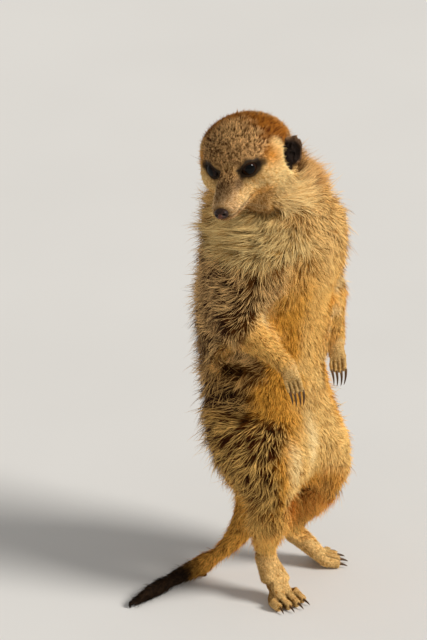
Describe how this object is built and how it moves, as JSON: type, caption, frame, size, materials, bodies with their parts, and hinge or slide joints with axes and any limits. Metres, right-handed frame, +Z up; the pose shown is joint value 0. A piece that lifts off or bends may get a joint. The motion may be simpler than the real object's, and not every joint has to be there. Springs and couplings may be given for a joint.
{
  "type": "meerkat",
  "caption": "Still, life-size meerkat standing upright on its hind feet, propped on its tail, hands hanging in front and head turned to its right.",
  "frame": {"origin": "on the floor, at the middle of the animal's outline from above", "axes": "+Z up; the body faces -Y, its left side is +X, and the head is turned to look along -X"},
  "size_m": [0.1382, 0.094, 0.3122],
  "materials": {
    "coat": "short grizzled fur, fawn to brown",
    "dark_coat": "short brown-black fur",
    "nose": "moist bare skin",
    "eye": "wet, glossy dark brown",
    "claw": "smooth horn"
  },
  "bodies": {
    "root": {"abdomen": "coat", "chest": "coat", "ear_left": "dark_coat", "ear_right": "dark_coat", "eye_left": "eye", "eye_right": "eye", "foot_claw_left_1": "claw", "foot_claw_left_2": "claw", "foot_claw_left_3": "claw", "foot_claw_left_4": "claw", "foot_claw_right_1": "claw", "foot_claw_right_2": "claw", "foot_claw_right_3": "claw", "foot_claw_right_4": "claw", "foot_left": "coat", "foot_right": "coat", "forearm_left": "coat", "forearm_right": "coat", "hand_claw_left_1": "claw", "hand_claw_left_2": "claw", "hand_claw_left_3": "claw", "hand_claw_left_4": "claw", "hand_claw_right_1": "claw", "hand_claw_right_2": "claw", "hand_claw_right_3": "claw", "hand_claw_right_4": "claw", "hand_left": "coat", "hand_right": "coat", "head": "coat", "muzzle": "coat", "neck": "coat", "nose": "nose", "shin_left": "coat", "shin_right": "coat", "tail_base": "coat", "tail_middle": "coat", "tail_tip": "dark_coat", "thigh_left": "coat", "thigh_right": "coat", "upper_arm_left": "coat", "upper_arm_right": "coat"}
  },
  "joints": []
}
